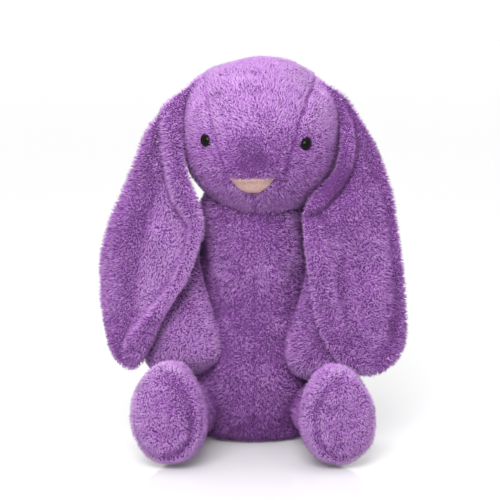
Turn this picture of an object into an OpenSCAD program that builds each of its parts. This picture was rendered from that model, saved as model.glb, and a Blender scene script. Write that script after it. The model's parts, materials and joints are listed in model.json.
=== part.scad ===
// Seated long-eared plush rabbit, in millimetres.
// +Z is up and the rabbit faces -Y. +X is the rabbit's left side.
// The origin is the middle of the flat seat, on the floor.
// Every cover is as thick as its backing cloth and its pile together.

/* [Head] */
// diameter of the round head
head_d = 154; // [148:1:156]
// height of the head's middle
head_z = 306; // [304:1:310]
// how far the head is turned towards the rabbit's right
head_turn = 5; // [0:0.5:6]
// width of the nose patch
nose_w = 43; // [36:1:48]
// diameter of each eye bead
eye_d = 11; // [9:0.5:13]

/* [Ears] */
// thickness of each of the two cloths of an ear
ear_layer = 8; // [6:0.5:9]
// radius that an ear bends to across its width
ear_bend = 120; // [110:5:160]

/* [Torso] */
// torso depth as a share of its width
torso_flat = 0.92; // [0.88:0.01:0.95]
// thickness of the plush cover, cloth and pile
cover = 7; // [5:0.5:8]

/* [Arms] */
// arm length from shoulder to paw end
arm_l = 157; // [148:1:158]
// forward lean of a resting arm
arm_lean = 19; // [18:0.5:20]
// arm depth as a share of its width
arm_flat = 0.76; // [0.7:0.01:0.78]

/* [Legs] */
// radius of the leg
leg_r = 28; // [26:0.5:29]
// foot height from heel to toe
foot_h = 103; // [94:1:104]
// foot width
foot_w = 78; // [70:1:80]
// how far each foot turns outwards
foot_turn = 15; // [10:1:18]

/* [Tail] */
// diameter of the tail
tail_d = 48; // [40:1:52]

/* [Hidden] */
$fn = 64;
air = 0.4; // free space between pieces that nearly touch
big = 800; // larger than any piece it cuts

head_x = 7;
head_y = -14;
neck = [0, -4, 250];
nod_max = 15;
gusset_nose_w = 52; // gusset width at the nose
gusset_top_w = 144; // gusset width at the crown
nose_h = 15;
nose_x = -2; // nose middle towards the head's right
nose_z = -44; // nose middle below the head's middle
nose_line = nose_z + nose_h / 2; // height of the nose's top edge
nose_t = 3;
eye_aim = 40; // turn of an eye away from straight ahead
eye_drop = 2.5; // turn of an eye downwards
eye_tilt = 1; // how much further down the left eye is, and up the right one
bead_out = 0.5; // how far a bead's middle is outside the head's surface
bead_bed = 0.5; // how deep a bead's flat back sits in the surface
shank_r = 2;
shank_l = 14;
washer_r = 7.5;
washer_t = 2;
washer_up = 2; // how far a washer's middle is above the shank's end

ear_swing = 40; // how far an ear swings outwards
ear_turn = 20;
ear_lean = 15;
ear_root = [66, -14, 353];
ear_mid = 34; // middle of the ear's bend, outwards from the root
ear_face = 24; // how far the middle of the ear's face is ahead of the root
swing_room = 1.2; // space kept beside a part that swings
// ear outlines from the root, [outwards, up], as the ear hangs; the head covers the inner ends
ear_line_right = [
  [-10, 2], [-3, -4], [14, -25], [36, -59], [56, -91], [74, -128], [85, -172],
  [81, -214], [69, -251], [52, -266], [38, -259], [12, -218], [-7, -186],
  [-17, -155], [-20, -130], [-17, -108], [-13, -82], [-13, -50], [-13, -20],
];
ear_line_left = [
  [-10, -2], [4, -10], [21, -22], [42, -50], [59, -81], [72, -130], [79, -172],
  [83, -213], [80, -240], [65, -262], [38, -274], [19, -268], [3, -253],
  [-11, -217], [-18, -165], [-20, -124], [-22, -106], [-16, -76], [-13, -45], [-13, -20],
];

// torso outline above the floor, [radius, height]
torso_line = [
  [31, 0], [49, 4], [60, 13], [66, 30], [67.5, 52], [66, 84], [61.5, 124],
  [57.5, 160], [55, 190], [53, 212], [49, 232], [41, 250], [25, 262],
];
seat_r = 27; // radius of the flat seat panel
pouch = [31, 19, 17];
pouch_at = [0, 26, 29];
stitch_n = 7;
stitch_r = 0.8;
stitch_low = 80; // height of the lowest closing stitch
stitch_step = 7;
stitch_l = 12;
stitch_sink = 3; // depth of the stitches in the cover

shoulder = [74, -8, 222];
arm_in = 2; // how far a resting arm leans inwards
arm_room = 3; // space that the torso keeps for an arm as it swings
// arm outline between its flat ends, [radius, share of the length below the shoulder]
arm_line = [
  [8, -0.13], [15, -0.11], [20, -0.06], [21.5, 0.02], [22, 0.2], [25, 0.4],
  [31, 0.56], [37, 0.69], [39.5, 0.79], [37.5, 0.88], [28, 0.96], [14, 1],
];

hip = [54, -20, 36];
hip_r = 31;
leg_swing = 12; // how far a leg swings inwards
ankle = [80, -122, 46];
foot_at = [79, -128, foot_h / 2];
// foot outline between its flat middles, [share of half the width, depth]
foot_line = [
  [0.2, -26.5], [0.55, -25], [0.82, -21], [0.95, -15], [1, -5],
  [0.97, 7], [0.84, 19], [0.58, 27], [0.25, 30],
];
seam_y = -15; // where the sole meets the foot
foot_pouch = [20, 13, 18];
foot_pouch_at = [0, 0, -16];
tail_gap = 2; // how far the tail's cover is from the back
tail_z = 38;

plush = [0.47, 0.25, 0.68];
lining = [0.52, 0.3, 0.72];
filling = [0.93, 0.93, 0.9];
pellets = [0.85, 0.83, 0.78];

// ---------- helpers ----------

// a smooth closed line through the points, with n steps between each two
function smooth(p, n) = [
  for (i = [0:len(p) - 1], k = [0:n - 1])
    let (
      a = p[(i + len(p) - 1) % len(p)], b = p[i],
      c = p[(i + 1) % len(p)], d = p[(i + 2) % len(p)], t = k / n
    )
    0.5 * (2 * b + (c - a) * t + (2 * a - 5 * b + 4 * c - d) * t * t
      + (3 * b - a - 3 * c + d) * t * t * t)
];

// a smooth open line through the points, with n steps between each two
function smooth_open(p, n) = [
  for (i = [0:len(p) - 2], k = [0:n - 1])
    let (
      a = p[max(0, i - 1)], b = p[i],
      c = p[i + 1], d = p[min(len(p) - 1, i + 2)], t = k / n
    )
    0.5 * (2 * b + (c - a) * t + (2 * a - 5 * b + 4 * c - d) * t * t
      + (3 * b - a - 3 * c + d) * t * t * t),
  p[len(p) - 1]
];

// radius of the torso at the height z
function torso_r(z) = lookup(z, [for (p = torso_line) [p[1], p[0]]]);

module place(p, s) {
  translate([p[0] * s, p[1], p[2]]) children();
}

module ellipsoid(r) {
  scale(r) sphere(1);
}

// everything on the side s of the plane x = 0
module side(s) {
  translate([s * big / 2, 0, 0]) cube(big, center = true);
}

module in_front() {
  translate([0, -big / 2, 0]) cube(big, center = true);
}

// a solid joined from its left and right halves
module halves() {
  for (s = [-1, 1]) intersection() {
    children();
    side(s);
  }
}

// ---------- head ----------

module in_head() {
  translate([head_x, head_y, head_z]) rotate([0, 0, -head_turn]) children();
}

module head_shape(grow) {
  in_head() rotate([0, 0, 90]) sphere(head_d / 2 + grow, $fn = 96);
}

// the band over the crown, from the nose to the nape
module gusset_zone() {
  translate([0, big / 2, nose_line]) rotate([90, 0, 0]) linear_extrude(big)
    polygon([
      [-gusset_nose_w / 2, 0], [gusset_nose_w / 2, 0],
      [gusset_top_w / 2, head_d], [-gusset_top_w / 2, head_d],
    ]);
  translate([-gusset_nose_w / 2, 0, nose_line - head_d])
    cube([gusset_nose_w, head_d, head_d]);
}

// what the gusset leaves of the side s; the two sides meet under the nose
module cheek_zone(s) {
  translate([0, big / 2, nose_line]) rotate([90, 0, 0]) linear_extrude(big)
    polygon([
      [s * gusset_nose_w / 2, 0], [s * head_d, 0],
      [s * head_d, head_d], [s * gusset_top_w / 2, head_d],
    ]);
  translate([0, 0, nose_line - head_d]) rotate([0, 0, s > 0 ? -90 : 180])
    cube([head_d, head_d, head_d]);
  translate([s * (gusset_nose_w + head_d) / 2, head_d / 2, nose_line - head_d / 2])
    cube([head_d, head_d, head_d], center = true);
}

// the nose's outline: a bowl with a flat top
module nose_prism(grow) {
  w = nose_w / 2;
  h = nose_h / 2;
  bowl = [[1, 0.7], [0.9, 0], [0.65, -0.6], [0.25, -1]]; // corners as shares of w and h
  translate([nose_x, 0, nose_z]) rotate([90, 0, 0]) linear_extrude(head_d)
    offset(delta = grow) polygon([
      [-0.9 * w, h], [0.9 * w, h],
      for (p = bowl) [p[0] * w, p[1] * h],
      for (i = [len(bowl) - 1:-1:0]) [-bowl[i][0] * w, bowl[i][1] * h],
    ]);
}

// the eye's own frame: the cloth's surface at the eye, looking outwards along +Z
module at_eye(s) {
  in_head() rotate([90 + eye_drop + s * eye_tilt, 0, s * eye_aim])
    translate([0, 0, head_d / 2]) children();
}

module eye_bead() {
  intersection() {
    translate([0, 0, bead_out]) sphere(d = eye_d);
    translate([0, 0, eye_d / 2 - bead_bed]) cube(eye_d, center = true);
  }
  translate([0, 0, -shank_l]) cylinder(r = shank_r, h = shank_l + 1);
}

module eye_washer() {
  translate([0, 0, washer_up - shank_l + washer_t / 2]) difference() {
    cylinder(r = washer_r, h = washer_t, center = true);
    cylinder(r = shank_r + air / 4, h = 2 * washer_t, center = true);
  }
}

// room for a bead, its shank and its washer
module eye_room() {
  translate([0, 0, -bead_bed - air]) cylinder(d = eye_d + 2 * air, h = eye_d);
  translate([0, 0, -shank_l - air]) cylinder(r = shank_r + air / 2, h = shank_l);
  translate([0, 0, washer_up - shank_l - air])
    cylinder(r = washer_r + air, h = washer_t + 2 * air);
}

module head_cloth() {
  difference() {
    head_shape(0);
    head_shape(-cover);
    in_head() difference() {
      nose_prism(air / 2);
      sphere(head_d / 2 - nose_t - air, $fn = 96);
    }
    for (s = [-1, 1]) at_eye(s) eye_room();
  }
}

module head_gusset() {
  color(plush) intersection() {
    head_cloth();
    in_head() gusset_zone();
  }
}

module head_side(s) {
  color(plush) intersection() {
    head_cloth();
    in_head() cheek_zone(s);
  }
}

module head_stuffing() {
  color(filling) difference() {
    head_shape(-cover - air);
    for (s = [-1, 1]) at_eye(s) eye_room();
  }
}

module nose_patch() {
  color([0.78, 0.62, 0.6]) intersection() {
    difference() {
      head_shape(0);
      head_shape(-nose_t);
    }
    in_head() nose_prism(0);
  }
}

// ---------- ears ----------

// the ear's own frame: root at the origin, hanging down -Z, outer face to -Y
module in_ear(s) {
  place(ear_root, s) rotate([-ear_lean, 0, 0]) rotate([0, 0, s * ear_turn]) children();
}

module ear_plate(s) {
  line = s > 0 ? ear_line_left : ear_line_right;
  rotate([90, 0, 0]) linear_extrude(big, center = true)
    scale([s / cos(ear_turn), 1 / cos(ear_lean)]) polygon(smooth(line, 3));
}

// one cloth of an ear, from depth a to depth b behind the outer face
module ear_cloth(s, a, b) {
  color(a == 0 ? plush : lining) difference() {
    intersection() {
      in_ear(s) ear_plate(s);
      in_ear(s) translate([s * ear_mid, ear_bend - ear_face, -big / 2])
        difference() {
          cylinder(r = ear_bend - a, h = big, $fn = 180);
          translate([0, 0, -1]) cylinder(r = ear_bend - b, h = big + 2, $fn = 180);
        }
      in_ear(s) in_front();
    }
    // room for the head as the ear swings out
    for (turn = [0, ear_swing / 2, ear_swing])
      place(ear_root, s) rotate([0, s * turn, 0]) place(-ear_root, s)
        head_shape(swing_room);
  }
}

// ---------- torso ----------

// everything above the height z
module above(z) {
  translate([0, 0, z + big / 2]) cube(big, center = true);
}

module torso_shape(grow) {
  line = smooth_open(torso_line, 2);
  top = line[len(line) - 1];
  intersection() {
    scale([1, torso_flat, 1]) rotate_extrude($fn = 120) polygon([
      [0, -1],
      for (p = line) [p[0] + grow, p[1] < 1 ? -1 : min(p[1], top[1] + grow)],
      [0, top[1] + grow],
    ]);
    above(-grow);
  }
}

// the flat panel that the rabbit sits on
module torso_seat() {
  color(plush) cylinder(r = seat_r * torso_flat, h = cover);
}

// room for the head, the arms and the legs in the torso's surface
module limb_room() {
  head_shape(2 * air);
  translate(neck) rotate([-nod_max, 0, 0]) translate(-neck) head_shape(2 * air);
  for (s = [-1, 1]) {
    in_arm(s) arm_shape(arm_room);
    place(hip, s) sphere(hip_r + 2 * air);
    for (a = [0, leg_swing / 2, leg_swing])
      place(hip, s) rotate([0, 0, -s * a]) place(-hip, s)
        leg_axis(s) cylinder(r = leg_r + swing_room, h = big / 4);
  }
}

module torso_cloth() {
  difference() {
    torso_shape(0);
    torso_core(0);
    limb_room();
    back_stitches(air);
    translate([0, 0, -1]) cylinder(r = seat_r * torso_flat, h = cover + 1);
  }
}

module torso_core(gap) {
  torso_shape(-cover - gap);
}

module torso_panel(s, front) {
  color(plush) intersection() {
    torso_cloth();
    side(s);
    if (front) in_front();
    else rotate([0, 0, 180]) in_front();
  }
}

module torso_stuffing() {
  color(filling) difference() {
    torso_core(air);
    limb_room();
    translate(pouch_at) ellipsoid(pouch + [air, air, air]);
  }
}

module pellet_pouch() {
  color(pellets) translate(pouch_at) ellipsoid(pouch);
}

// ladder stitches that close the back seam
module back_stitches(grow) {
  for (z = [stitch_low:stitch_step:stitch_low + stitch_step * (stitch_n - 1)])
    translate([0, torso_flat * torso_r(z) - stitch_sink, z])
      rotate([0, 90, 0])
        cylinder(r = stitch_r + grow, h = stitch_l + 2 * grow, center = true, $fn = 20);
}

module closing_stitches() {
  color([0.4, 0.2, 0.6]) back_stitches(0);
}

// ---------- arms ----------

module in_arm(s) {
  place(shoulder, s) rotate([-arm_lean, 0, 0]) rotate([0, s * arm_in, 0]) children();
}

module arm_shape(grow) {
  line = smooth_open(arm_line, 2);
  top = -line[0][1] * arm_l + grow;
  end = -arm_l - grow;
  scale([1, arm_flat, 1]) rotate_extrude($fn = 120) polygon([
    [0, end], [0, top],
    for (p = line) [max(1, p[0] + grow), min(top, max(end, -p[1] * arm_l))],
  ]);
}

module arm_panel(s, front) {
  color(plush) in_arm(s) intersection() {
    difference() {
      arm_shape(0);
      arm_shape(-cover);
    }
    if (front) in_front();
    else rotate([0, 0, 180]) in_front();
  }
}

module arm_stuffing(s) {
  color(filling) in_arm(s) halves() arm_shape(-cover - air);
}

// ---------- legs ----------

// the leg's own frame: hip at the origin, running along +Z to the ankle
module leg_axis(s) {
  run = ankle - hip;
  place(hip, s) rotate([0, 0, s * atan2(run[0], -run[1])])
    rotate([90 - atan2(run[2], norm([run[0], run[1]])), 0, 0]) children();
}

module in_foot(s) {
  place(foot_at, s) rotate([0, 0, s * foot_turn]) children();
}

module foot_form(grow) {
  line = smooth_open(foot_line, 2);
  front = line[0][1] - grow;
  back = line[len(line) - 1][1] + grow;
  rotate([-90, 0, 0]) scale([1, (foot_h / 2 + grow) / (foot_w / 2 + grow), 1])
    rotate_extrude($fn = 120) polygon([
      [0, back], [0, front],
      for (p = line) [p[0] * (foot_w / 2 + grow), min(back, max(front, p[1]))],
    ]);
}

module sole_zone() {
  translate([0, seam_y, 0]) in_front();
}

module leg_shape(s, grow) {
  leg_axis(s) cylinder(r = leg_r + grow, h = norm(ankle - hip));
  place(hip, s) sphere(hip_r + grow);
  in_foot(s) foot_form(grow);
}

// splits a leg's cover along its top and bottom
module leg_half(s, inner) {
  run = ankle - hip;
  place(hip, s) rotate([0, 0, s * atan2(run[0], -run[1])]) side(inner ? -s : s);
}

module leg_panel(s, inner) {
  color(plush) intersection() {
    difference() {
      leg_shape(s, 0);
      leg_shape(s, -cover);
      in_foot(s) sole_zone();
    }
    leg_half(s, inner);
  }
}

module sole(s) {
  color(plush) in_foot(s) halves() intersection() {
    difference() {
      foot_form(0);
      foot_form(-cover);
    }
    sole_zone();
  }
}

module foot_pellets(s) {
  color(pellets) in_foot(s) translate(foot_pouch_at) ellipsoid(foot_pouch);
}

module leg_stuffing(s) {
  color(filling) difference() {
    leg_shape(s, -cover - air);
    in_foot(s) translate(foot_pouch_at) ellipsoid(foot_pouch + [air, air, air]);
  }
}

// ---------- tail ----------

// the tail's own frame: its middle, clear of the back
module in_tail() {
  translate([0, torso_flat * torso_r(tail_z) + tail_gap + tail_d / 2, tail_z]) children();
}

module tail_cover() {
  color([0.93, 0.92, 0.95]) in_tail() difference() {
    sphere(d = tail_d);
    sphere(d = tail_d - 2 * cover);
  }
}

module tail_stuffing() {
  color(filling) in_tail() sphere(d = tail_d - 2 * cover - 2 * air);
}

head_gusset();
head_side(1);  // head_side_left
head_side(-1);  // head_side_right
head_stuffing();
nose_patch();
color([0.02, 0.02, 0.02]) at_eye(1) eye_bead();  // eye_left
color([0.02, 0.02, 0.02]) at_eye(-1) eye_bead();  // eye_right
color([0.9, 0.9, 0.9]) at_eye(1) eye_washer();  // eye_washer_left
color([0.9, 0.9, 0.9]) at_eye(-1) eye_washer();  // eye_washer_right
ear_cloth(1, 0, ear_layer);  // ear_left_front
ear_cloth(1, ear_layer, 2 * ear_layer);  // ear_left_back
ear_cloth(-1, 0, ear_layer);  // ear_right_front
ear_cloth(-1, ear_layer, 2 * ear_layer);  // ear_right_back
torso_panel(1, true);  // torso_front_left
torso_panel(-1, true);  // torso_front_right
torso_panel(1, false);  // torso_back_left
torso_panel(-1, false);  // torso_back_right
torso_seat();
torso_stuffing();
pellet_pouch();
closing_stitches();
arm_panel(1, true);  // arm_left_front
arm_panel(1, false);  // arm_left_back
arm_stuffing(1);  // arm_left_stuffing
arm_panel(-1, true);  // arm_right_front
arm_panel(-1, false);  // arm_right_back
arm_stuffing(-1);  // arm_right_stuffing
leg_panel(1, true);  // leg_left_inner
leg_panel(1, false);  // leg_left_outer
sole(1);  // sole_left
leg_stuffing(1);  // leg_left_stuffing
foot_pellets(1);  // foot_pellets_left
leg_panel(-1, true);  // leg_right_inner
leg_panel(-1, false);  // leg_right_outer
sole(-1);  // sole_right
leg_stuffing(-1);  // leg_right_stuffing
foot_pellets(-1);  // foot_pellets_right
tail_cover();
tail_stuffing();
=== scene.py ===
import json
import math

import bpy
import bmesh
import numpy as np
from mathutils import Matrix, Vector
from mathutils.bvhtree import BVHTree
from mathutils.kdtree import KDTree


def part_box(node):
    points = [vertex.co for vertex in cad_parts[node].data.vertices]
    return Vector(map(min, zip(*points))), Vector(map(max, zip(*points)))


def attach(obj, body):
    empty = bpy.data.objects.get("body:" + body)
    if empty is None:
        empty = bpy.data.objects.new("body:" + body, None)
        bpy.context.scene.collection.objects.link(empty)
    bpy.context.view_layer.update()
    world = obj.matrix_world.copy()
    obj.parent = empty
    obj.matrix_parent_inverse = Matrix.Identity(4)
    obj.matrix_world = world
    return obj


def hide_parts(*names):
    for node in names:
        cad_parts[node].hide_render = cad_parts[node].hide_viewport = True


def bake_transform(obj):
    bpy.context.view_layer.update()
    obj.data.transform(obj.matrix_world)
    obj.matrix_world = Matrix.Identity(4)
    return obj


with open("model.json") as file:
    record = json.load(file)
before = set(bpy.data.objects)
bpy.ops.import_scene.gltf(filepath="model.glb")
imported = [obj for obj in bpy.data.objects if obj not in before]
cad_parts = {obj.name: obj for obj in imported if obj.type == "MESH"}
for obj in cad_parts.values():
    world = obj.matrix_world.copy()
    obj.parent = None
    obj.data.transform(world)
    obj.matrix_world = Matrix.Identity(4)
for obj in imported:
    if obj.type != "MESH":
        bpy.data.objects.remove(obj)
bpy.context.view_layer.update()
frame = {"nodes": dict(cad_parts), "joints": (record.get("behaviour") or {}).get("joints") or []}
RNG = np.random.default_rng(11)
MM = 0.001

JOINTS = {j["name"]: j for j in frame["joints"]}
SHOULDER = {1: np.array(JOINTS["arm_left_swing"]["pos_m"]), -1: np.array(JOINTS["arm_right_swing"]["pos_m"])}
HIP = {1: np.array(JOINTS["leg_left_swing"]["pos_m"]), -1: np.array(JOINTS["leg_right_swing"]["pos_m"])}
EAR_ROOT = {1: np.array(JOINTS["ear_left_swing"]["pos_m"]), -1: np.array(JOINTS["ear_right_swing"]["pos_m"])}
SIDE = {1: "left", -1: "right"}


def box(node):
    low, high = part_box(node)
    return np.array(low), np.array(high)


def middle(node):
    low, high = box(node)
    return (low + high) / 2


# ---------------------------------------------------------------- materials


def new_material(name):
    m = bpy.data.materials.new(name)
    m.use_nodes = True
    return m, m.node_tree.nodes, m.node_tree.links, m.node_tree.nodes["Principled BSDF"]


def plain(name, color, rough, sheen=0.0, sheen_rough=0.5, coat=0.0, tint=(1, 1, 1)):
    m, _, _, p = new_material(name)
    p.inputs["Base Color"].default_value = (*color, 1)
    p.inputs["Roughness"].default_value = rough
    p.inputs["Sheen Weight"].default_value = sheen
    p.inputs["Sheen Roughness"].default_value = sheen_rough
    p.inputs["Sheen Tint"].default_value = (*tint, 1)
    p.inputs["Coat Weight"].default_value = coat
    p.inputs["Specular IOR Level"].default_value = 0.2 if coat == 0 else 0.5
    return m


def woven(name, dark, light, rough, scale, bump, sheen=0.0):
    """Cloth: a fine mottled colour between two shades, with a bump of the same grain."""
    m, nodes, links, p = new_material(name)
    where = nodes.new("ShaderNodeTexCoord")
    grain = nodes.new("ShaderNodeTexNoise")
    grain.inputs["Scale"].default_value = scale
    grain.inputs["Detail"].default_value = 4.0
    ramp = nodes.new("ShaderNodeValToRGB")
    ramp.color_ramp.elements[0].position = 0.35
    ramp.color_ramp.elements[0].color = (*dark, 1)
    ramp.color_ramp.elements[1].position = 0.65
    ramp.color_ramp.elements[1].color = (*light, 1)
    hills = nodes.new("ShaderNodeBump")
    hills.inputs["Strength"].default_value = 0.6
    hills.inputs["Distance"].default_value = bump
    links.new(where.outputs["Object"], grain.inputs["Vector"])
    links.new(grain.outputs["Fac"], ramp.inputs["Fac"])
    links.new(ramp.outputs["Color"], p.inputs["Base Color"])
    links.new(grain.outputs["Fac"], hills.inputs["Height"])
    links.new(hills.outputs["Normal"], p.inputs["Normal"])
    p.inputs["Roughness"].default_value = rough
    p.inputs["Specular IOR Level"].default_value = 0.2
    p.inputs["Sheen Weight"].default_value = sheen
    return m


# Seven steps of pile colour. Steps above 1 are mixed towards white as a painted highlight; steps below 1 turn
# darker and deeper as painted shade.
SHADES = [0.44, 0.60, 0.77, 0.95, 1.13, 1.32, 1.52]
PURPLE = np.array([0.43, 0.185, 0.54])
pile_mats_tone_and_painted_light = []
for i, k in enumerate(SHADES):
    if k > 1:
        c = PURPLE * (1 + 0.12 * (k - 1)) + np.array([0.22, 0.33, 0.14]) * (k - 1)
    else:
        c = PURPLE * np.array([k, k**1.4, k**0.92])
    pile_mats_tone_and_painted_light.append(plain("plush_pile_%d" % i, c, 0.6, sheen=0.12, sheen_rough=0.4, tint=(0.9, 0.75, 0.92)))
    pile_mats_tone_and_painted_light[-1].node_tree.nodes["Principled BSDF"].inputs["Specular IOR Level"].default_value = 0.25
# The backing is much darker than the pile: painted shade deep among the tufts.
skin_mat = woven("plush_backing_painted_shade", (0.07, 0.018, 0.10), (0.11, 0.03, 0.15), 0.9, 900.0, 0.0004)
WHITE = np.array([0.80, 0.77, 0.83])
tail_mats = [
    plain("tail_pile_%d" % i, WHITE * k, 0.7, sheen=0.2) for i, k in enumerate([0.8, 0.9, 1.0, 1.08])]
tail_skin = woven("tail_backing", (0.45, 0.42, 0.48), (0.6, 0.57, 0.63), 0.9, 900.0, 0.0004)
nose_mat = woven("nose_velour", (0.20, 0.12, 0.11), (0.37, 0.235, 0.22), 0.85, 1300.0, 0.0007, 0.1)
bead_mat = plain("eye_bead", (0.002, 0.0018, 0.0015), 0.12)
bead_mat.node_tree.nodes["Principled BSDF"].inputs["Specular IOR Level"].default_value = 0.09
filling_mat = woven("filling", (0.75, 0.75, 0.72), (0.9, 0.9, 0.87), 0.9, 300.0, 0.001)
thread_mat = woven("sewing_thread", (0.06, 0.02, 0.09), (0.11, 0.045, 0.16), 0.8, 2500.0, 0.0002)

# ---------------------------------------------------------------- mesh helpers


def make(name, verts, faces, mats, smooth=True):
    me = bpy.data.meshes.new(name)
    me.from_pydata([tuple(v) for v in verts], [], [tuple(int(i) for i in f) for f in faces])
    for m in mats:
        me.materials.append(m)
    ob = bpy.data.objects.new(name, me)
    bpy.context.scene.collection.objects.link(ob)
    b = bmesh.new()
    b.from_mesh(me)
    bmesh.ops.recalc_face_normals(b, faces=b.faces)
    b.to_mesh(me)
    b.free()
    if smooth:
        me.polygons.foreach_set("use_smooth", [True] * len(me.polygons))
    me.update()
    return ob


def loft(rings):
    """Vertices and faces of a closed skin over rings of equal length, with a pole at each end."""
    n, m = len(rings), len(rings[0])
    verts = [p for r in rings for p in r] + [rings[0].mean(0), rings[-1].mean(0)]
    faces = []
    for i in range(n - 1):
        for j in range(m):
            k = (j + 1) % m
            faces.append((i * m + j, i * m + k, (i + 1) * m + k, (i + 1) * m + j))
    for j in range(m):
        k = (j + 1) % m
        faces.append((n * m, j, k))
        faces.append((n * m + 1, (n - 1) * m + k, (n - 1) * m + j))
    return verts, faces


def curve_through(points, t):
    """Catmull-Rom through rows of numbers, sampled at the parameters t from 0 to len(points) - 1."""
    p = np.asarray(points, float)
    t = np.clip(np.asarray(t, float), 0, len(p) - 1 - 1e-9)
    i = t.astype(int)
    f = (t - i)[:, None]
    a, b = p[np.maximum(i - 1, 0)], p[i]
    c, d = p[np.minimum(i + 1, len(p) - 1)], p[np.minimum(i + 2, len(p) - 1)]
    return 0.5 * (2 * b + (c - a) * f + (2 * a - 5 * b + 4 * c - d) * f**2 + (3 * b - a - 3 * c + d) * f**3)


def co_of(ob):
    n = len(ob.data.vertices)
    v = np.empty(n * 3)
    ob.data.vertices.foreach_get("co", v)
    return v.reshape(-1, 3)


def normals_of(ob):
    n = len(ob.data.vertices)
    v = np.empty(n * 3)
    ob.data.vertex_normals.foreach_get("vector", v)
    return v.reshape(-1, 3)


def set_co(ob, v):
    ob.data.vertices.foreach_set("co", v.ravel())
    ob.data.update()


def applied(ob):
    """The object with its modifiers made real."""
    dg = bpy.context.evaluated_depsgraph_get()
    dg.update()
    me = bpy.data.meshes.new_from_object(ob.evaluated_get(dg))
    ob.modifiers.clear()
    old = ob.data
    ob.data = me
    bpy.data.meshes.remove(old)
    me.polygons.foreach_set("use_smooth", [True] * len(me.polygons))
    return ob


def fuse(ob, voxel, smooth):
    """Joins what overlaps in one mesh into one skin."""
    r = ob.modifiers.new("fuse", "REMESH")
    r.mode = "VOXEL"
    r.voxel_size = voxel
    if smooth:
        s = ob.modifiers.new("ease", "SMOOTH")
        s.iterations = smooth
        s.factor = 0.5
    return applied(ob)


WAVES = RNG.normal(size=(3, 24, 3))
PHASES = RNG.uniform(0, 2 * math.pi, size=(3, 24))


def swirl(p, size):
    """A smooth random vector field, one value from about -1 to 1 on each axis, with features of that size."""
    out = np.zeros_like(p)
    for axis in range(3):
        w = WAVES[axis] / size
        out[:, axis] = np.sin(p @ w.T + PHASES[axis]).sum(1) / math.sqrt(12)
    return out


def bell(x, width):
    return np.exp(-((x / width) ** 2))


# ---------------------------------------------------------------- fur


def hollows(ob, rounds=14):
    """How far each point of a skin lies below its smoothed surroundings; creases and seams are above 0."""
    v, nv = co_of(ob), normals_of(ob)
    e = np.empty(len(ob.data.edges) * 2, int)
    ob.data.edges.foreach_get("vertices", e)
    a, b = e[0::2], e[1::2]
    count = np.bincount(np.concatenate([a, b]), minlength=len(v))[:, None]
    soft = v.copy()
    for _ in range(rounds):
        near = np.stack([
            np.bincount(a, soft[b, k], len(v)) + np.bincount(b, soft[a, k], len(v)) for k in range(3)], 1)
        soft = 0.4 * soft + 0.6 * near / np.maximum(count, 1)
    deep = ((soft - v) * nv).sum(1)
    return deep - np.median(deep)


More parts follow.
